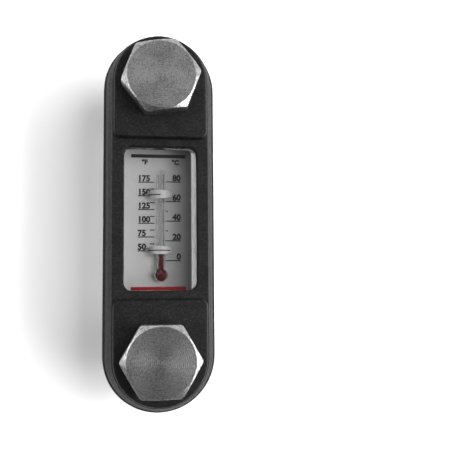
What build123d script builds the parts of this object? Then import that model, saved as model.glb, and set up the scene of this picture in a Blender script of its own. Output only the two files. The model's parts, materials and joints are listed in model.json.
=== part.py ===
"""Tank level gauge with a built-in thermometer, 76 mm between bolt centres.

Frame: +Z runs up the gauge, the front faces -Y, and Y = 0 is the tank wall's outer face, on which the rear
seals press. All depths below are millimetres forward of that wall (towards -Y). The upper bolt is at
Z = +bolt_spacing / 2 and the lower one at Z = -bolt_spacing / 2, both along Y.
"""
from build123d import *
import os
from math import cos, pi, radians, sin, sqrt, tan

# ---- driving dimensions, mm -------------------------------------------------------------------------
bolt_spacing = 76.0          # centre to centre, the usual 3 inch pattern

# cover: a moulded black shell
cover_rim_depth = 4.2        # open rear edge
cover_rim_radius = 16.0      # half width at the rear edge; the ends are arcs round the bolts
cover_lip_length = 4.0       # flared band behind the small step
cover_lip_draft = 0.25       # how far the lip closes in along its length
cover_step = 0.6             # inward step in front of the lip
cover_shoulder_length = 3.5  # from where the side wall turns in, to the middle face
cover_wall_draft = 1.7       # inward lean of the side wall, rim to shoulder
cover_shoulder_inset = 3.0   # middle face's outline inside the rim
cover_face_depth = 17.1      # middle face, round the window
cover_wall = 1.5
cover_front_wall = 2.0
cover_edge_radius = 0.5
pad_height = 1.7             # bolt pads stand proud of the middle face
pad_inset = 0.15             # pad's foot inside the middle face's outline
pad_draft = 14.0             # degrees
pad_window_gap = 2.1         # between the window and the inner end of each pad
pad_corner_radius = 2.2
pad_wall = 2.2
notch_width = 2.4            # snap notch in the rim, one each side at mid height
notch_depth = 1.5

# window
window_side_band = 3.1       # face left beside the window
window_height = 39.4
window_corner = 2.3
window_bevel = 0.35
window_gap = 0.12            # between the opening and the lens
lens_below_face = 0.2

# transparent body
body_gap = 0.2               # to the cover, all round
boss_face_depth = 3.2        # round rear bosses that carry the seals
boss_rim_gap = 2.0           # bosses inside the cover's rim
boss_step = 0.1
flange_rear_depth = 3.7
flange_front_depth = 7.0
flange_draft = 0.2
flange_edge = 0.4
block_inset = 2.6            # narrower part in front of the flange
block_draft = 0.3
land_inset = 3.0             # raised front land under each pad
lens_wall = 2.9
snap_tab_width = 2.0
snap_tab_rise = 0.6
snap_tab_gap = 0.4           # tab's end short of the cover's outside

# fluid chamber
chamber_side_margin = 0.4    # beyond the window's sides
chamber_end_margin = 0.8
chamber_corner = 1.2
passage_radius = 2.0
passage_depth = 8.0

# rear plate, welded into the body
rear_plate_side = 4.5        # between its sides and the cover's outside
rear_plate_corner = 0.8
rear_plate_thickness = 1.9
rear_plate_gap = 0.1
rear_plate_arc = 14.6        # its ends curve round the bosses
rear_plate_key = 0.25        # how far the plate stands below the boss faces
rib_width = 1.2              # upright rib that backs the scale plate
cross_rib_width = 2.3
rib_proud = 0.3              # the same ribs outside, on the rear face
rib_margin = 1.5             # cross rib stops short of the plate's sides
post_radius = 0.9            # four posts near the corners also back the scale plate
post_side_inset = 2.5        # from the sheet's sides
post_end_inset = 1.7

# scale plate: one printed sheet with two bridges pressed out of it
scale_thickness = 0.4
scale_front_depth = 9.4
scale_side_gap = 0.8         # to the chamber's sides, both together halved
scale_end_gap = 0.3
scale_offset = -0.45         # the sheet sits a little to the left
scale_corner = 1.0
bridge_half_width = 3.6
bridge_height = 2.3
bridge_toe = 0.35            # how far its pointed ends run on past the arch
bridge_tube_gap = 0.1
upper_bridge_z = 7.15
lower_bridge_z = -8.5
upper_bridge_line_end = 0.2  # a printed line runs on over each bridge, as far as this
lower_bridge_line_end = 2.9

# print on the scale
print_thickness = 0.06
zero_celsius_z = -11.4
celsius_spacing = 0.28       # for each degree
tick_line_width = 0.3
limit_line_inset = 1.8       # its ends inside the sheet's sides
limit_line_offset = -0.3
limit_line_width = 1.0
maximum_line_inset = 1.85    # below the upper end of the sheet
minimum_line_inset = 1.0     # above its lower end
fahrenheit_line = (-6.0, -1.4)
fahrenheit_tick = (-2.7, -1.4)
celsius_line = (1.4, 6.0)
celsius_tick = (1.4, 2.4)

# thermometer
tube_x = 0.3                 # right of the middle
tube_radius = 1.35
tube_bore_radius = 0.7
tube_top_inset = 6.0         # below the upper end of the sheet
bulb_radius = 2.0
bulb_wall = 0.3
bulb_inset = 4.8             # bulb's centre above the lower end of the sheet
spirit_top_z = -8.4
spirit_gap = 0.02

# hollow bolts, M12
bolt_radius = 6.0
bolt_tip = -18.0             # depth of the free end, behind the wall
bolt_tip_chamfer = 1.3
head_flats = 19.0
head_height = 5.3
head_chamfer_circle = 18.6
hexagon_corner = 1.2         # radius that softens the corners of heads and nuts
head_chamfer_angle = 30.0
bolt_bore_radius = 3.1
bore_past_drilling = 1.5
waist_radius = 5.0
waist_length = 5.0
bolt_hole_gap = 0.2          # radial, bolt in body
cover_hole_gap = 0.4         # radial, bolt in cover

# flange nuts, M12
nut_height = 12.0
nut_flats = 18.0
nut_chamfer_circle = 17.2
nut_flange_overlap = 0.1     # flange beyond the seal's outside
nut_flange_edge = 1.5
nut_flange_slope = 24.0      # degrees
nut_bore_gap = 0.05
nut_mouth_chamfer = 0.8

# seals
rear_seal_cord = 4.0
rear_seal_boss_gap = 1.6     # outside of the seal inside its boss
rear_seal_side_gap = 0.1
shank_seal_cord = 2.4
shank_seal_gap = 0.05

# ---- worked out from the above ----------------------------------------------------------------------
bolt_z = bolt_spacing / 2
cover_break_depth = cover_face_depth - cover_shoulder_length
cover_break_radius = cover_rim_radius - cover_wall_draft
cover_face_radius = cover_rim_radius - cover_shoulder_inset
window_width = 2 * (cover_face_radius - window_side_band)
pad_inner_z = window_height / 2 + pad_window_gap
boss_radius = cover_rim_radius - boss_rim_gap
block_radius = boss_radius - block_inset
land_radius = boss_radius - land_inset
chamber_width = window_width + 2 * chamber_side_margin
chamber_height = window_height + 2 * chamber_end_margin
scale_width = chamber_width - 2 * scale_side_gap
scale_height = chamber_height - 2 * scale_end_gap
limit_line_length = scale_width - 2 * limit_line_inset
maximum_line_z = scale_height / 2 - maximum_line_inset
minimum_line_z = minimum_line_inset - scale_height / 2
tube_top_z = scale_height / 2 - tube_top_inset
bulb_z = bulb_inset - scale_height / 2
rear_plate_width = 2 * (cover_rim_radius - rear_plate_side)
rear_seal_centre_radius = boss_radius - rear_seal_boss_gap - rear_seal_cord / 2
nut_flange_radius = rear_seal_centre_radius + rear_seal_cord / 2 + nut_flange_overlap
pad_face_depth = cover_face_depth + pad_height
lip_end_depth = cover_rim_depth + cover_lip_length
lip_end_radius = cover_rim_radius - cover_lip_draft
inner_face_depth = cover_face_depth - cover_front_wall
body_front_depth = inner_face_depth - body_gap
pad_inner_depth = pad_face_depth - pad_wall
lens_face_depth = cover_face_depth - lens_below_face
chamber_front_depth = lens_face_depth - lens_wall
land_face_depth = pad_inner_depth - body_gap / 2
rear_plate_face = boss_face_depth + rear_plate_key
rear_plate_front = rear_plate_face + rear_plate_thickness
scale_rear_depth = scale_front_depth - scale_thickness
head_top_depth = pad_face_depth + head_height
tube_depth = scale_front_depth + tube_radius
bridge_rise = 2 * tube_radius + bridge_tube_gap
bridge_inner_foot = bridge_half_width - scale_thickness
bridge_inner_radius = (bridge_inner_foot ** 2 + bridge_rise ** 2) / (2 * bridge_rise)
bridge_radius = bridge_inner_radius + scale_thickness
bridge_axis_depth = scale_front_depth + bridge_rise - bridge_inner_radius
shank_seal_radius = bolt_radius + shank_seal_gap + shank_seal_cord / 2
bolt_hole_radius = bolt_radius + bolt_hole_gap


# ---- helpers ----------------------------------------------------------------------------------------
def plane_at(depth):
    """The X-Z plane at a depth forward of the wall; its normal points to the front."""
    return Plane.XZ.offset(depth)


def slab(sketch, rear, front, **options):
    """A sketch drawn in X and Z, extruded from one depth to another."""
    return extrude(plane_at(rear) * sketch, amount=front - rear, **options)


def disc(radius, rear, front, z=0.0):
    """A cylinder along the bolt axis at height z."""
    return slab(Pos(0, z) * Circle(radius), rear, front)


def turned(points, z=0.0):
    """A solid of revolution about the bolt axis at height z, from (radius, depth) points."""
    outline = make_face(Polyline([(r, -d) for r, d in points], close=True))
    return Pos(0, 0, z) * revolve(outline, Axis.Y, 360)


def racetrack(points):
    """A solid whose (radius, depth) profile runs along both sides and round both ends of the gauge."""
    outline = make_face(Polyline([(r, -d) for r, d in points], close=True))
    side = extrude(Pos(0, 0, -bolt_z) * outline, amount=bolt_spacing)
    end = revolve(outline, Axis.Y, 360)
    return side + mirror(side, Plane.YZ) + Pos(0, 0, bolt_z) * end + Pos(0, 0, -bolt_z) * end


def both_ends(make):
    """The same shape at the upper and the lower bolt."""
    return make(bolt_z) + make(-bolt_z)


def celsius_z(celsius):
    return zero_celsius_z + celsius_spacing * celsius


def fahrenheit_z(fahrenheit):
    return celsius_z((fahrenheit - 32) / 1.8)


# ---- cover ------------------------------------------------------------------------------------------
def pad_sketch():
    """Plan of both bolt pads: a round outer end, and an inner end with rounded corners."""
    radius = cover_face_radius - pad_inset
    straight = bolt_z - pad_inner_z
    block = Pos(0, pad_inner_z + straight / 2) * Rectangle(2 * radius, straight)
    inner_corners = block.vertices().group_by(Axis.Y)[0]
    upper = fillet(inner_corners, pad_corner_radius) + Pos(0, bolt_z) * Circle(radius)
    return upper, mirror(upper, Plane.XZ)


def cover_shell():
    step_depth = lip_end_depth + cover_step
    outer = racetrack([
        (0, cover_rim_depth), (cover_rim_radius, cover_rim_depth), (lip_end_radius, lip_end_depth),
        (lip_end_radius - cover_step, step_depth), (cover_break_radius, cover_break_depth),
        (cover_face_radius, cover_face_depth), (0, cover_face_depth)])
    inner = racetrack([
        (0, cover_rim_depth), (cover_rim_radius - cover_wall, cover_rim_depth),
        (lip_end_radius - cover_step - cover_wall, step_depth),
        (cover_break_radius - cover_wall, cover_break_depth - cover_front_wall),
        (cover_face_radius - cover_wall, inner_face_depth), (0, inner_face_depth)])
    shell = outer
    for pad in pad_sketch():
        shell += slab(pad, cover_face_depth, pad_face_depth, taper=pad_draft)
    rims = shell.faces().filter_by(Axis.Y).filter_by(lambda f: f.center().Y < -cover_face_depth - pad_height / 2)
    shell = fillet(rims.edges(), cover_edge_radius)
    shell -= inner
    shell -= both_ends(lambda z: disc(land_radius + body_gap, inner_face_depth, pad_inner_depth, z))
    shell -= both_ends(lambda z: disc(bolt_radius + cover_hole_gap, inner_face_depth, pad_face_depth, z))
    window = RectangleRounded(window_width, window_height, window_corner)
    shell -= slab(window, inner_face_depth, cover_face_depth)
    front_edges = shell.edges().filter_by(
        lambda e: abs(e.center().Y + cover_face_depth) < 0.01 and abs(e.center().X) < window_width / 2 + 0.1
        and abs(e.center().Z) < window_height / 2 + 0.1)
    shell = chamfer(front_edges, window_bevel)
    notch = slab(Rectangle(3 * cover_rim_radius, notch_width), cover_rim_depth, cover_rim_depth + notch_depth)
    return shell - notch


# ---- transparent body and rear plate ----------------------------------------------------------------
def rear_plate_sketch(gap=0.0):
    """Plan of the rear plate, with concave ends round the bosses."""
    plan = Rectangle(rear_plate_width - 2 * gap, bolt_spacing)
    for z in (bolt_z, -bolt_z):
        plan -= Pos(0, z) * Circle(rear_plate_arc + gap)
    corners = plan.vertices()
    return fillet(corners, rear_plate_corner)


def chamber_sketch():
    return RectangleRounded(chamber_width, chamber_height, chamber_corner)


def scale_outline():
    return Pos(scale_offset, 0) * RectangleRounded(scale_width, scale_height, scale_corner)


def sight_body():
    flange_radius = boss_radius - boss_step
    body = racetrack([
        (0, flange_rear_depth), (flange_radius - flange_edge, flange_rear_depth),
        (flange_radius, flange_rear_depth + flange_edge), (flange_radius - flange_draft, flange_front_depth),
        (block_radius, flange_front_depth), (block_radius - block_draft, body_front_depth), (0, body_front_depth)])
    body += both_ends(lambda z: disc(boss_radius, boss_face_depth, flange_rear_depth + flange_edge, z))
    body += both_ends(lambda z: disc(land_radius, flange_front_depth, land_face_depth, z))
    lens = RectangleRounded(window_width - 2 * window_gap, window_height - 2 * window_gap, window_corner)
    body += slab(lens, flange_front_depth, lens_face_depth)
    tab = Rectangle(2 * (cover_rim_radius - snap_tab_gap), snap_tab_width)
    body += slab(tab, flange_rear_depth + snap_tab_rise, cover_rim_depth + notch_depth - body_gap)

    body -= slab(rear_plate_sketch(), 0, rear_plate_front)
    body -= slab(chamber_sketch(), rear_plate_front, chamber_front_depth)

    def seal_seats(z):
        groove = rear_seal_cord / 2 + rear_seal_side_gap
        rear_groove = (disc(rear_seal_centre_radius + groove, 0, rear_seal_cord, z)
                       - disc(rear_seal_centre_radius - groove, 0, rear_seal_cord, z))
        counterbore = disc(bolt_radius + shank_seal_cord + 2 * shank_seal_gap,
                           land_face_depth - shank_seal_cord, land_face_depth, z)
        return rear_groove + counterbore + disc(bolt_hole_radius, 0, land_face_depth, z)

    body -= both_ends(seal_seats)
    passage = Pos(0, -passage_depth, -bolt_z) * Cylinder(
        passage_radius, bolt_spacing, align=(Align.CENTER, Align.CENTER, Align.MIN))
    return body - passage


def rear_plate():
    plate = slab(rear_plate_sketch(rear_plate_gap), rear_plate_face, rear_plate_front)
    rib_z = chamber_height / 2 - chamber_corner
    upright_length = rib_z - cross_rib_width / 2
    upright_z = cross_rib_width / 2 + upright_length / 2
    cross = Rectangle(chamber_width - 2 * chamber_corner, cross_rib_width)
    ribs = slab(cross, rear_plate_front, scale_rear_depth)
    for z in (upright_z, -upright_z):
        ribs += slab(Pos(0, z) * Rectangle(rib_width, upright_length), rear_plate_front, scale_rear_depth)
    post_x = scale_width / 2 - post_side_inset
    post_z = scale_height / 2 - post_end_inset
    for x, z in ((post_x, post_z), (post_x, -post_z), (-post_x, post_z), (-post_x, -post_z)):
        ribs += slab(Pos(x, z) * Circle(post_radius), rear_plate_front, scale_rear_depth)
    outer = slab(Rectangle(rear_plate_width - 2 * rib_margin, cross_rib_width), rear_plate_face - rib_proud, rear_plate_face)
    for z in (upright_z, -upright_z):
        outer += slab(Pos(0, z) * Rectangle(rib_width, upright_length), rear_plate_face - rib_proud,
                      rear_plate_face)
    return plate + ribs + outer


# ---- scale and thermometer --------------------------------------------------------------------------
def arch(z, radius, inner_radius, height):
    """Part of a ring round an axis along Z, in front of the sheet's rear face."""
    ring = Circle(radius) - Circle(inner_radius)
    hoop = extrude(Pos(0, -bridge_axis_depth, z - height / 2) * ring, amount=height)
    return hoop & slab(Rectangle(4 * radius, 2 * scale_height), scale_rear_depth, chamber_front_depth)


def bridge(z):
    """A strip with pointed ends pressed forward out of the sheet; the thermometer is held under it."""
    plan = Pos(0, z) * Ellipse(bridge_half_width + bridge_toe, bridge_height / 2)
    return arch(z, bridge_radius, bridge_inner_radius, bridge_height) & slab(
        plan, scale_rear_depth, chamber_front_depth)


def bridge_line(line_z, end):
    """The printed line of a degree mark where it runs on over a bridge."""
    band = arch(line_z, bridge_radius + print_thickness, bridge_radius, tick_line_width)
    reach = bridge_half_width - bridge_toe
    middle = (end - reach) / 2
    window = Pos(middle, line_z) * Rectangle(end + reach, bridge_height)
    return band & slab(window, scale_front_depth, chamber_front_depth)


def scale_plate():
    plate = slab(scale_outline(), scale_rear_depth, scale_front_depth)
    for z in (upper_bridge_z, lower_bridge_z):
        slot = Pos(0, z) * Ellipse(bridge_inner_foot, bridge_height / 2)
        plate -= slab(slot, scale_rear_depth, scale_front_depth)
        plate += bridge(z)
    return plate


def printed_line(x_from, x_to, z, width):
    middle = (x_from + x_to) / 2
    bar = Pos(middle, z) * Rectangle(x_to - x_from, width)
    return slab(bar, scale_front_depth, scale_front_depth + print_thickness)


def limit_line(z):
    return printed_line(limit_line_offset - limit_line_length / 2, limit_line_offset + limit_line_length / 2, z,
                        limit_line_width)


def scale_ticks():
    """Degree lines and half-way ticks beside the tube; those that would cross a bridge stop short of it."""
    bars = []
    for fahrenheit in range(50, 176, 25):
        z = fahrenheit_z(fahrenheit)
        end = fahrenheit_line[1] if clear_of_bridges(z) else -bridge_half_width - bridge_toe
        bars.append(printed_line(fahrenheit_line[0], end, z, tick_line_width))
    for fahrenheit in (62.5, 87.5, 112.5, 137.5, 162.5):
        bars.append(printed_line(*fahrenheit_tick, fahrenheit_z(fahrenheit), tick_line_width))
    for celsius in range(0, 81, 20):
        bars.append(printed_line(*celsius_line, celsius_z(celsius), tick_line_width))
    for celsius in (30, 50):
        bars.append(printed_line(*celsius_tick, celsius_z(celsius), tick_line_width))
    bars.append(bridge_line(fahrenheit_z(150), upper_bridge_line_end))
    bars.append(bridge_line(fahrenheit_z(50), lower_bridge_line_end))
    return Compound(bars)


def clear_of_bridges(z):
    reach = (bridge_height + tick_line_width) / 2
    return all(abs(z - bridge_z) > reach for bridge_z in (upper_bridge_z, lower_bridge_z))


def thermometer_outline(tube, bulb, top):
    """A tube of one radius that runs down into a round bulb."""
    stem = Pos(tube_x, -tube_depth, bulb_z) * Cylinder(
        tube, top - bulb_z, align=(Align.CENTER, Align.CENTER, Align.MIN))
    return stem + Pos(tube_x, -tube_depth, bulb_z) * Sphere(bulb)


def thermometer_tube():
    glass = thermometer_outline(tube_radius, bulb_radius, tube_top_z)
    top_edge = glass.edges().group_by(Axis.Z)[-1]
    glass = fillet(top_edge, tube_radius * 0.7)
    # the rear of the bulb is held back to the plate's front face
    glass &= slab(Rectangle(4 * bulb_radius, 2 * scale_height), scale_front_depth, chamber_front_depth)
    return glass - thermometer_outline(tube_bore_radius, bulb_radius - bulb_wall, tube_top_z - tube_radius)


def thermometer_spirit():
    spirit = thermometer_outline(tube_bore_radius - spirit_gap, bulb_radius - bulb_wall - spirit_gap, spirit_top_z)
    return spirit & slab(Rectangle(4 * bulb_radius, 2 * scale_height), scale_front_depth, chamber_front_depth)


# ---- fasteners and seals ----------------------------------------------------------------------------
def hexagon(flats):
    sketch = RegularPolygon(flats / 2, 6, major_radius=False)
    return fillet(sketch.vertices(), hexagon_corner)


def bolt(z, turn):
    """Hollow bolt: hexagon head, shank with a waist, an axial bore and a cross drilling for the fluid."""
    head = slab(Pos(0, z) * Rot(0, 0, turn) * hexagon(head_flats), pad_face_depth, head_top_depth)
    corner = head_flats / sqrt(3)
    drop = (corner + 1 - head_chamfer_circle / 2) * tan(radians(head_chamfer_angle))
    head &= turned([(0, pad_face_depth - 1), (corner + 1, pad_face_depth - 1),
                    (corner + 1, head_top_depth - drop), (head_chamfer_circle / 2, head_top_depth),
                    (0, head_top_depth)], z)
    waist_rear = passage_depth - waist_length / 2
    waist_front = passage_depth + waist_length / 2
    slope = bolt_radius - waist_radius
    shank = turned([
        (0, bolt_tip), (bolt_radius - bolt_tip_chamfer, bolt_tip), (bolt_radius, bolt_tip + bolt_tip_chamfer),
        (bolt_radius, waist_rear - slope), (waist_radius, waist_rear), (waist_radius, waist_front),
        (bolt_radius, waist_front + slope), (bolt_radius, pad_face_depth), (0, pad_face_depth)], z)
    bore_end = passage_depth + passage_radius + bore_past_drilling
    bore = disc(bolt_bore_radius, bolt_tip, bore_end, z)
    drilling = Pos(0, -passage_depth, z) * Cylinder(passage_radius, 2 * bolt_radius)
    return head + shank - bore - drilling


def nut(z, turn):
    """Hexagon nut with a solid washer flange; the flange bears on the rear seal."""
    prism = slab(Pos(0, z) * Rot(0, 0, turn) * hexagon(nut_flats), -nut_height, -nut_flange_edge / 2)
    corner = nut_flats / sqrt(3)
    drop = (corner + 1 - nut_chamfer_circle / 2) * tan(radians(head_chamfer_angle))
    prism &= turned([(0, 0), (corner + 1, 0), (corner + 1, -nut_height + drop),
                     (nut_chamfer_circle / 2, -nut_height), (0, -nut_height)], z)
    top_radius = nut_flats / 2 - 0.5
    rise = (nut_flange_radius - top_radius) * tan(radians(nut_flange_slope))
    flange = turned([(0, 0), (nut_flange_radius, 0), (nut_flange_radius, -nut_flange_edge),
                     (top_radius, -nut_flange_edge - rise), (0, -nut_flange_edge - rise)], z)
    bore = bolt_radius + nut_bore_gap
    mouth = bore + nut_mouth_chamfer
    hole = turned([(0, 0.1), (mouth + 0.1, 0.1), (bore, -nut_mouth_chamfer), (bore, -nut_height + nut_mouth_chamfer),
                   (mouth + 0.1, -nut_height - 0.1), (0, -nut_height - 0.1)], z)
    return prism + flange - hole


def ring_seal(centre_radius, cord, rear, z):
    """An O-ring whose rearmost point is at the given depth."""
    middle = -(rear + cord / 2)
    section = Pos(centre_radius, middle) * Circle(cord / 2)
    return Pos(0, 0, z) * revolve(section, Axis.Y, 360)


# ---- the parts --------------------------------------------------------------------------------------
head_turns = {"upper": 8.8, "lower": 0.0}
nut_turns = {"upper": 8.0, "lower": -20.0}

parts = {
    "cover": cover_shell(),
    "sight_body": sight_body(),
    "rear_plate": rear_plate(),
    "scale_plate": scale_plate(),
    "scale_ticks": scale_ticks(),
    "maximum_line": limit_line(maximum_line_z),
    "minimum_line": limit_line(minimum_line_z),
    "thermometer_tube": thermometer_tube(),
    "thermometer_spirit": thermometer_spirit(),
}
for side, z in (("upper", bolt_z), ("lower", -bolt_z)):
    parts[side + "_bolt"] = bolt(z, head_turns[side])
    parts[side + "_nut"] = nut(z, nut_turns[side])
    parts[side + "_rear_seal"] = ring_seal(rear_seal_centre_radius, rear_seal_cord, 0, z)
    parts[side + "_shank_seal"] = ring_seal(shank_seal_radius, shank_seal_cord,
                                            land_face_depth - shank_seal_cord, z)

os.makedirs("parts", exist_ok=True)
for name, shape in parts.items():
    export_step(shape, f"parts/{name}.step")
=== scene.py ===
"""Looks of the tank level gauge: materials, bolt threads, printed scale, lights, camera.

Metres throughout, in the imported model's own frame: +Z up, front faces -Y, tank wall at Y = 0.
"""
import json
from math import atan2, cos, pi, radians, sin, sqrt

import bmesh
import bpy
from mathutils import Matrix, Vector

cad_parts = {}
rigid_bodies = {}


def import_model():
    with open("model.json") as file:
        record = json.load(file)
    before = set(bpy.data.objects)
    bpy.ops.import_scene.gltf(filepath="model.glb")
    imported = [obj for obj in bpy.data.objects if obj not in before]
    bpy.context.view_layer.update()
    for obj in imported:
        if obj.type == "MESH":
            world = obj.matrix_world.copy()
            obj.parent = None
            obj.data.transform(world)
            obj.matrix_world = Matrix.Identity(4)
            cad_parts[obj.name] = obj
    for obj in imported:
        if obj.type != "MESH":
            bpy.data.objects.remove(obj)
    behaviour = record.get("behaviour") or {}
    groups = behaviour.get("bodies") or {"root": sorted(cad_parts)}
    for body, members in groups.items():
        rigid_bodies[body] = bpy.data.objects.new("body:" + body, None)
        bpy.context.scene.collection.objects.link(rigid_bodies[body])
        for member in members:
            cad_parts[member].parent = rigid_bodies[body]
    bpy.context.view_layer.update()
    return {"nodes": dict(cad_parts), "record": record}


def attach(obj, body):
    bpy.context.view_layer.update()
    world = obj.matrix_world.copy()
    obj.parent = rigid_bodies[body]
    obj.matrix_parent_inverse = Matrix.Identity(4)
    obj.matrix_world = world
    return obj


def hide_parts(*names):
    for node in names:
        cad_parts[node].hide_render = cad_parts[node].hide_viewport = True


MM = 0.001
for old in list(bpy.data.objects):
    bpy.data.objects.remove(old)

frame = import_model()
nodes = frame["nodes"]


# ---- material helpers -------------------------------------------------------------------------------
class Shader:
    """A material with a Principled surface and short ways to add nodes to it."""

    def __init__(self, name):
        self.material = bpy.data.materials.new(name)
        self.material.use_nodes = True
        self.tree = self.material.node_tree
        self.principled = self.tree.nodes["Principled BSDF"]
        self.output = self.tree.nodes["Material Output"]
        self.coords = self.add("ShaderNodeTexCoord").outputs["Object"]

    def add(self, kind, **settings):
        node = self.tree.nodes.new(kind)
        for key, value in settings.items():
            setattr(node, key, value)
        return node

    def link(self, source, target):
        self.tree.links.new(source, target)

    def set(self, **values):
        for key, value in values.items():
            self.principled.inputs[key.replace("_", " ")].default_value = value

    def noise(self, scale, detail=3.0, roughness=0.55, coords=None):
        node = self.add("ShaderNodeTexNoise")
        node.inputs["Scale"].default_value = scale
        node.inputs["Detail"].default_value = detail
        node.inputs["Roughness"].default_value = roughness
        self.link(coords or self.coords, node.inputs["Vector"])
        return node.outputs["Fac"]

    def ramp(self, factor, stops):
        node = self.add("ShaderNodeValToRGB")
        elements = node.color_ramp.elements
        elements[0].position, elements[0].color = stops[0][0], (*stops[0][1], 1)
        elements[1].position, elements[1].color = stops[-1][0], (*stops[-1][1], 1)
        for position, colour in stops[1:-1]:
            elements.new(position).color = (*colour, 1)
        self.link(factor, node.inputs["Fac"])
        return node.outputs["Color"]

    def range(self, factor, low, high, start=0.3, end=0.7):
        node = self.add("ShaderNodeMapRange")
        node.inputs["From Min"].default_value = start
        node.inputs["From Max"].default_value = end
        node.inputs["To Min"].default_value = low
        node.inputs["To Max"].default_value = high
        self.link(factor, node.inputs["Value"])
        return node.outputs["Result"]

    def math(self, operation, first, second):
        node = self.add("ShaderNodeMath", operation=operation)
        for slot, value in enumerate((first, second)):
            if isinstance(value, (int, float)):
                node.inputs[slot].default_value = value
            else:
                self.link(value, node.inputs[slot])
        return node.outputs["Value"]

    def bump(self, height, distance, strength=1.0, edge=0.0):
        """Fine relief; an edge radius also rounds the piece's edges in shading."""
        node = self.add("ShaderNodeBump")
        node.inputs["Strength"].default_value = strength
        node.inputs["Distance"].default_value = distance
        self.link(height, node.inputs["Height"])
        if edge:
            bevel = self.add("ShaderNodeBevel", samples=6)
            bevel.inputs["Radius"].default_value = edge
            self.link(bevel.outputs["Normal"], node.inputs["Normal"])
        return node.outputs["Normal"]

    def colour(self, source):
        self.link(source, self.principled.inputs["Base Color"])

    def roughness(self, source):
        self.link(source, self.principled.inputs["Roughness"])

    def normal(self, source):
        self.link(source, self.principled.inputs["Normal"])


def grey(value, warm=0.0):
    return (value * (1 + warm), value, value * (1 - warm))


def moulded_black():
    """Black nylon with a fine spark-eroded grain."""
    s = Shader("cover_nylon")
    patches = s.math("MULTIPLY", s.noise(220, 4), 0.2)
    specks = s.math("MULTIPLY", s.noise(1700, 3, 0.7), 0.8)
    tones = [(0.40, grey(0.003)), (0.50, grey(0.006)), (0.60, grey(0.015))]
    s.colour(s.ramp(s.math("ADD", patches, specks), tones))
    s.roughness(s.range(s.noise(900, 2), 0.52, 0.64))
    s.set(Specular_IOR_Level=0.17)
    grain = s.math("ADD", s.noise(2600, 4, 0.7), s.math("MULTIPLY", s.noise(700, 2), 0.5))
    s.normal(s.bump(grain, 0.00012, 0.9, edge=0.0004))
    return s.material


def clear(name, ior, rough, tint, shadow):
    """A transparent solid. Light for shadows passes straight through it."""
    s = Shader(name)
    s.set(Transmission_Weight=1.0, IOR=ior)
    s.colour(s.ramp(s.noise(60, 2), [(0.3, tint), (0.7, tuple(min(1.0, c * 1.03) for c in tint))]))
    s.roughness(s.range(s.noise(400, 3), rough, rough + 0.01))
    s.normal(s.bump(s.noise(150, 2), 0.00004, 0.15))
    path = s.add("ShaderNodeLightPath")
    through = s.add("ShaderNodeBsdfTransparent")
    through.inputs["Color"].default_value = (*grey(shadow), 1)
    mix = s.add("ShaderNodeMixShader")
    blocked = s.math("MAXIMUM", path.outputs["Is Shadow Ray"], path.outputs["Is Diffuse Ray"])
    s.link(blocked, mix.inputs["Fac"])
    s.link(s.principled.outputs["BSDF"], mix.inputs[1])
    s.link(through.outputs["BSDF"], mix.inputs[2])
    s.link(mix.outputs["Shader"], s.output.inputs["Surface"])
    return s.material


def zinc(name, colour, rough, turned, contrast):
    """Zinc plate with a fine speckle. Turned faces also carry fine rings about the bolt's axis."""
    s = Shader(name)
    s.set(Metallic=1.0)
    place = s.add("ShaderNodeVectorMath", operation="ADD")
    s.link(s.coords, place.inputs[0])
    s.link(s.add("ShaderNodeObjectInfo").outputs["Location"], place.inputs[1])
    own = place.outputs["Vector"]
    speckle = s.noise(1700, 5, 0.8, coords=own)
    broad = s.noise(170, 4, 0.6, coords=own)
    blend = s.math("ADD", s.math("MULTIPLY", speckle, 0.7), s.math("MULTIPLY", broad, 0.3))
    height = s.math("MULTIPLY", speckle, 0.9)
    if turned:
        rings = s.add("ShaderNodeTexWave", wave_type="RINGS", rings_direction="Y", wave_profile="SIN")
        rings.inputs["Scale"].default_value = 620
        rings.inputs["Distortion"].default_value = 5.0
        rings.inputs["Detail"].default_value = 3
        rings.inputs["Detail Scale"].default_value = 2.5
        s.link(s.coords, rings.inputs["Vector"])
        tangent = s.add("ShaderNodeTangent", direction_type="RADIAL", axis="Y")
        s.link(tangent.outputs["Tangent"], s.principled.inputs["Tangent"])
        s.set(Anisotropic=0.3, Anisotropic_Rotation=0.25)
        height = s.math("ADD", height, s.math("MULTIPLY", rings.outputs["Fac"], turned))
        ring_tone = s.math("MULTIPLY", s.math("SUBTRACT", rings.outputs["Fac"], 0.5), 0.065)
        blend = s.math("ADD", blend, ring_tone)
    dark, bright = grey(colour * (1 - contrast)), grey(colour * (1 + contrast))
    s.colour(s.ramp(blend, [(0.38, dark), (0.50, grey(colour)), (0.62, bright)]))
    s.roughness(s.range(blend, rough + 0.12, rough - 0.06))
    s.normal(s.bump(height, 0.00004, 0.6, edge=0.00006))
    return s.material


def rubber():
    s = Shader("seal_rubber")
    s.colour(s.ramp(s.noise(500, 3), [(0.3, grey(0.012)), (0.7, grey(0.022))]))
    s.roughness(s.range(s.noise(800, 2), 0.38, 0.52))
    s.normal(s.bump(s.noise(1800, 3), 0.00003, 0.4))
    return s.material


def printed(name, colour):
    s = Shader(name)
    s.colour(s.ramp(s.noise(1500, 3), [(0.3, tuple(0.85 * c for c in colour)), (0.7, colour)]))
    s.roughness(s.range(s.noise(900, 2), 0.42, 0.55))
    s.normal(s.bump(s.noise(2500, 2), 0.00001, 0.3))
    return s.material


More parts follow.
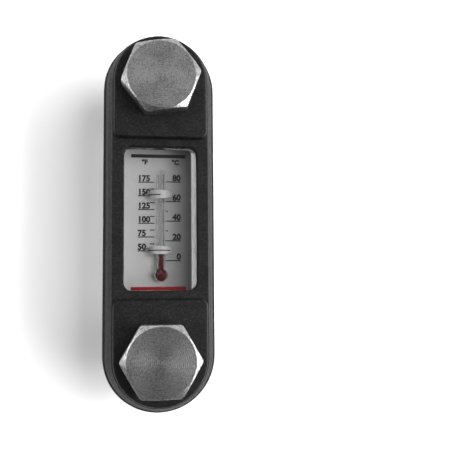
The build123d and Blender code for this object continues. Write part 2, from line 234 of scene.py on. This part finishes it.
def sheet():
    """Satin white sheet, with painted shade that makes it greyer towards one side (+X)."""
    s = Shader("scale_sheet")
    split = s.add("ShaderNodeSeparateXYZ")
    s.link(s.coords, split.inputs["Vector"])
    # painted shade: the colour darkens from -X to +X, standing in for less light on that side; the
    # noise adds a random tone on top
    painted_shade_across = s.range(split.outputs["X"], 0.0, 0.85, -0.009, 0.009)
    painted_shade_and_tone = s.math("ADD", painted_shade_across, s.math("MULTIPLY", s.noise(300, 3), 0.15))
    s.colour(s.ramp(painted_shade_and_tone, [(0.0, grey(0.72)), (0.5, grey(0.52)), (1.0, grey(0.22))]))
    s.roughness(s.range(s.noise(700, 2), 0.35, 0.45))
    s.normal(s.bump(s.noise(1200, 3), 0.00002, 0.25))
    return s.material


def spirit():
    s = Shader("red_spirit")
    s.colour(s.ramp(s.noise(400, 2), [(0.3, (0.085, 0.002, 0.004)), (0.7, (0.13, 0.003, 0.006))]))
    s.roughness(s.range(s.noise(300, 2), 0.12, 0.2))
    s.set(Specular_IOR_Level=0.4)
    return s.material


materials = {
    "cover_nylon": moulded_black(),
    "clear_acrylic": clear("clear_acrylic", 1.49, 0.0, (0.66, 0.665, 0.66), 0.84),
    "scale_sheet": sheet(),
    "print_black": printed("print_black", grey(0.012)),
    "print_red": printed("print_red", (0.42, 0.008, 0.010)),
    "tube_glass": clear("tube_glass", 1.47, 0.0, (0.88, 0.885, 0.88), 0.93),
    "red_spirit": spirit(),
    "zinc_steel": zinc("zinc_steel", 0.44, 0.24, 0.0, 0.22),
    "turned_zinc": zinc("turned_zinc", 0.42, 0.30, 0.8, 0.6),
    "seal_rubber": rubber(),
}
slots = {entry["node"]: entry["material_slot"] for entry in frame["record"]["subparts"]}
materials["smoky_acrylic"] = clear("smoky_acrylic", 1.49, 0.0, (0.45, 0.455, 0.45), 0.65)
for name, piece in nodes.items():
    piece.data.materials.clear()
    piece.data.materials.append(materials["smoky_acrylic" if name == "rear_plate" else slots[name]])


# ---- bolts with real threads ------------------------------------------------------------------------
THREAD_PITCH = 1.75 * MM
CREST, ROOT = 6.0 * MM, 5.05 * MM
HEAD_FLATS = 19.0 * MM
HEAD_TOP, HEAD_SEAT, TIP = -24.1 * MM, -18.8 * MM, 18.0 * MM
FACE_RADIUS = 9.25 * MM
FACE_EDGE = 0.05 * MM                  # depth of the small break round the face
CHAMFER_SLOPE = 0.55
CHAMFER_STEP = 0.14 * MM
SEAT_BREAK = 0.15 * MM
TIP_CHAMFER = 1.25 * MM
BORE_CHAMFER = 0.35 * MM
RINGS_PER_PITCH = 14
BOLT_Z = 38 * MM                       # bolts above and below the middle
UPPER_TURN, LOWER_TURN = 8.8, 0.0      # how far the heads are turned, degrees
CORNER = 1.2 * MM
BORE, BORE_END = 3.1 * MM, -11.4 * MM
THREAD_START = 1.5 * MM
STEPS = 216


def hexagon_radius(angle, flats, turn):
    """Distance from the axis to a hexagon with softened corners; one corner lies at the turn angle."""
    from_corner = abs((angle - turn + pi / 6) % (pi / 3) - pi / 6)
    centre = (flats / 2 - CORNER) / cos(pi / 6)
    tangent = atan2(CORNER * sin(pi / 6), centre + CORNER * cos(pi / 6))
    if from_corner < tangent:
        return centre * cos(from_corner) + sqrt(CORNER ** 2 - (centre * sin(from_corner)) ** 2)
    return flats / 2 / cos(pi / 6 - from_corner)


def thread_radius(angle, y):
    """A vee thread with a narrow crest flat."""
    phase = ((y - THREAD_START) / THREAD_PITCH + angle / (2 * pi)) % 1.0
    height = min(1.0, abs(2 * phase - 1) * 1.14)
    run_out = min(1.0, max(0.0, (y - THREAD_START) / THREAD_PITCH))
    depth = (CREST - ROOT) * height * run_out
    chamfer = CREST - max(0.0, y - (TIP - TIP_CHAMFER))
    return min(CREST - depth, chamfer)


def ring(mesh, radius_at, y):
    angles = [2 * pi * k / STEPS for k in range(STEPS)]
    return [mesh.verts.new((radius_at(a) * cos(a), y, radius_at(a) * sin(a))) for a in angles]


def join_rings(mesh, rings):
    for low, high in zip(rings, rings[1:]):
        for k in range(STEPS):
            n = (k + 1) % STEPS
            mesh.faces.new((low[k], low[n], high[n], high[k]))


def fan(mesh, loop, y):
    tip = mesh.verts.new((0, y, 0))
    for k in range(STEPS):
        mesh.faces.new((loop[k], loop[(k + 1) % STEPS], tip))


def bolt_piece(name, z, turn):
    """Hexagon head, threaded shank and bore, lofted from rings along the bolt's axis."""
    mesh = bmesh.new()
    turn = radians(turn)
    rings = []
    inner = (2.0 * MM, 5.0 * MM, 7.5 * MM, FACE_RADIUS - 0.2 * MM, FACE_RADIUS - 0.12 * MM)
    for r in inner:
        rings.append(ring(mesh, lambda a: r, HEAD_TOP))
    rings.append(ring(mesh, lambda a: FACE_RADIUS, HEAD_TOP + FACE_EDGE))
    for step in range(1, 9):
        y = HEAD_TOP + FACE_EDGE + step * CHAMFER_STEP
        cone = FACE_RADIUS + (y - HEAD_TOP - FACE_EDGE) / CHAMFER_SLOPE
        rings.append(ring(mesh, lambda a: min(cone, hexagon_radius(a, HEAD_FLATS, turn)), y))
    rings.append(ring(mesh, lambda a: hexagon_radius(a, HEAD_FLATS, turn), HEAD_SEAT - SEAT_BREAK))
    rings.append(ring(mesh, lambda a: hexagon_radius(a, HEAD_FLATS - 2 * SEAT_BREAK, turn), HEAD_SEAT))
    rings.append(ring(mesh, lambda a: CREST, HEAD_SEAT))
    y = THREAD_START
    while y < TIP - 0.01 * MM:
        rings.append(ring(mesh, lambda a: thread_radius(a, y), y))
        y += THREAD_PITCH / RINGS_PER_PITCH
    rings.append(ring(mesh, lambda a: thread_radius(a, TIP), TIP))
    rings.append(ring(mesh, lambda a: BORE + BORE_CHAMFER, TIP))
    rings.append(ring(mesh, lambda a: BORE, TIP - BORE_CHAMFER))
    rings.append(ring(mesh, lambda a: BORE, BORE_END))
    join_rings(mesh, rings)
    fan(mesh, rings[0], HEAD_TOP)
    fan(mesh, rings[-1], BORE_END)
    bmesh.ops.recalc_face_normals(mesh, faces=mesh.faces)
    data = bpy.data.meshes.new(name)
    mesh.to_mesh(data)
    mesh.free()
    data.materials.append(materials["turned_zinc"])
    data.materials.append(materials["zinc_steel"])
    data.shade_smooth()
    for face in data.polygons:
        if face.center.y > HEAD_SEAT / 2:
            face.material_index = 1
    data.set_sharp_from_angle(angle=radians(24))
    piece = bpy.data.objects.new(name, data)
    piece.location.z = z
    bpy.context.collection.objects.link(piece)
    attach(piece, "root")
    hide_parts(name.replace("_shown", ""))
    return piece


bolt_piece("upper_bolt_shown", BOLT_Z, UPPER_TURN)
bolt_piece("lower_bolt_shown", -BOLT_Z, LOWER_TURN)


# ---- words and numbers on the scale -----------------------------------------------------------------
SCALE_FACE = -9.4 * MM
PRINT_LIFT = 0.03 * MM
ZERO_Z = -11.4                         # 0 degrees Celsius, mm
PER_CELSIUS = 0.28
CAPITALS_TO_SIZE = 0.70                # height of a figure in this typeface, for a text size of 1
FIGURE_HEIGHT, UNIT_HEIGHT = 1.62, 1.3
FIGURE_LIFT = 0.34                     # figures stand this far above their line


def lettering(mesh, text, height, x, z, align):
    """Adds flat raised text to the mesh; x and z are its baseline point in mm."""
    curve = bpy.data.curves.new("text", "FONT")
    curve.body = text
    curve.size = height / CAPITALS_TO_SIZE
    curve.align_x = align
    curve.extrude = 0.015
    curve.offset = 0.11
    curve.resolution_u = 4
    holder = bpy.data.objects.new("text", curve)
    bpy.context.collection.objects.link(holder)
    graph = bpy.context.evaluated_depsgraph_get()
    flat = bpy.data.meshes.new_from_object(holder.evaluated_get(graph))
    place = Matrix.Translation((x * MM, SCALE_FACE - PRINT_LIFT, z * MM))
    place = place @ Matrix.Rotation(radians(90), 4, "X") @ Matrix.Scale(MM, 4)
    flat.transform(place)
    mesh.from_mesh(flat)
    bpy.data.objects.remove(holder)
    bpy.data.meshes.remove(flat)


def scale_numbers():
    """Fahrenheit figures on the left, Celsius on the right, with their units above."""
    mesh = bmesh.new()
    for value in range(50, 176, 25):
        z = ZERO_Z + PER_CELSIUS * (value - 32) / 1.8
        lettering(mesh, str(value), FIGURE_HEIGHT, -6.1, z + FIGURE_LIFT, "LEFT")
    for value in range(0, 81, 20):
        z = ZERO_Z + PER_CELSIUS * value
        lettering(mesh, str(value), FIGURE_HEIGHT, 6.0, z + FIGURE_LIFT, "RIGHT")
    lettering(mesh, "°F", UNIT_HEIGHT, -4.2, 16.0, "CENTER")
    lettering(mesh, "°C", UNIT_HEIGHT, 4.5, 16.0, "CENTER")
    bmesh.ops.remove_doubles(mesh, verts=mesh.verts, dist=1e-7)
    data = bpy.data.meshes.new("scale_numbers")
    mesh.to_mesh(data)
    mesh.free()
    data.materials.append(materials["print_black"])
    piece = bpy.data.objects.new("scale_numbers", data)
    bpy.context.collection.objects.link(piece)
    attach(piece, "root")


scale_numbers()


# ---- backdrop, lights, camera -----------------------------------------------------------------------
def backdrop():
    """White wall behind the gauge, seen from the front only."""
    data = bpy.data.meshes.new("backdrop")
    mesh = bmesh.new()
    bmesh.ops.create_grid(mesh, x_segments=1, y_segments=1, size=0.3)
    bmesh.ops.transform(mesh, matrix=Matrix.Rotation(radians(90), 4, "X"), verts=mesh.verts)
    mesh.to_mesh(data)
    mesh.free()
    s = Shader("backdrop")
    s.colour(s.ramp(s.noise(8, 2), [(0.3, grey(0.94)), (0.7, grey(0.95))]))
    s.set(Roughness=0.9, Specular_IOR_Level=0.0)
    facing = s.add("ShaderNodeNewGeometry")
    hidden = s.add("ShaderNodeBsdfTransparent")
    mix = s.add("ShaderNodeMixShader")
    s.link(facing.outputs["Backfacing"], mix.inputs["Fac"])
    s.link(s.principled.outputs["BSDF"], mix.inputs[1])
    s.link(hidden.outputs["BSDF"], mix.inputs[2])
    s.link(mix.outputs["Shader"], s.output.inputs["Surface"])
    data.materials.append(s.material)
    wall = bpy.data.objects.new("backdrop", data)
    wall.location.y = TIP + 0.05 * MM
    bpy.context.collection.objects.link(wall)


def area_lamp(name, place, target, size, power, mirrored=True):
    data = bpy.data.lights.new(name, "AREA")
    data.shape = "RECTANGLE"
    data.size, data.size_y = size
    data.energy = power
    lamp = bpy.data.objects.new(name, data)
    lamp.location = place
    lamp.visible_glossy = mirrored
    lamp.visible_transmission = False
    lamp.rotation_euler = (Vector(target) - Vector(place)).to_track_quat("-Z", "Y").to_euler()
    bpy.context.collection.objects.link(lamp)


def world(strength, below, viewer):
    """White to the camera; as a light, dimmer below and on the viewer's side."""
    sky = bpy.data.worlds.new("sky")
    sky.use_nodes = True
    tree = sky.node_tree
    direction = tree.nodes.new("ShaderNodeTexCoord").outputs["Generated"]

    def fall(axis, start, end, low, high):
        toward = tree.nodes.new("ShaderNodeVectorMath")
        toward.operation = "DOT_PRODUCT"
        toward.inputs[1].default_value = Vector(axis).normalized()
        tree.links.new(direction, toward.inputs[0])
        shape = tree.nodes.new("ShaderNodeMapRange")
        shape.interpolation_type = "SMOOTHSTEP"
        for key, value in (("From Min", start), ("From Max", end), ("To Min", low), ("To Max", high)):
            shape.inputs[key].default_value = value
        tree.links.new(toward.outputs["Value"], shape.inputs["Value"])
        return shape.outputs["Result"]

    product = tree.nodes.new("ShaderNodeMath")
    product.operation = "MULTIPLY"
    tree.links.new(fall((0.0, 0.0, 1.0), -0.45, 0.35, below, strength), product.inputs[0])
    tree.links.new(fall((0.10, -1.0, -0.12), 0.55, 0.97, 1.0, viewer), product.inputs[1])
    path = tree.nodes.new("ShaderNodeLightPath")
    choice = tree.nodes.new("ShaderNodeMix")
    tree.links.new(path.outputs["Is Camera Ray"], choice.inputs["Factor"])
    tree.links.new(product.outputs["Value"], choice.inputs["A"])
    choice.inputs["B"].default_value = 1.0
    tree.links.new(choice.outputs["Result"], tree.nodes["Background"].inputs["Strength"])
    tree.nodes["Background"].inputs["Color"].default_value = (1, 1, 1, 1)
    bpy.context.scene.world = sky


def camera():
    """Just left of the gauge and below its middle, looking slightly right and up."""
    data = bpy.data.cameras.new("camera")
    data.sensor_width = 36
    data.lens = 50.8
    data.clip_start, data.clip_end = 0.01, 10
    eye = bpy.data.objects.new("camera", data)
    eye.location = (-7.84 * MM, -190.85 * MM, -16.76 * MM)
    turn = Matrix.Rotation(radians(-8.46), 4, "Z") @ Matrix.Rotation(radians(90 + 4.77), 4, "X")
    turn = turn @ Matrix.Rotation(radians(-0.52), 4, "Z")
    eye.rotation_euler = turn.to_euler()
    bpy.context.collection.objects.link(eye)
    bpy.context.scene.camera = eye


backdrop()
world(0.95, 0.20, 0.22)
area_lamp("key", (0.38, -0.58, 0.13), (0, 0, 0), (0.50, 0.50), 5.0, False)
area_lamp("side", (0.52, -0.42, -0.04), (0, 0, 0), (0.40, 0.40), 3.2)
area_lamp("low", (0.44, -0.46, -0.29), (0, 0, 0), (0.18, 0.18), 1.1)
area_lamp("fill", (-0.40, -0.45, 0.05), (0, 0, 0), (0.30, 0.30), 0.8)
camera()
bpy.context.scene.view_settings.view_transform = "Standard"
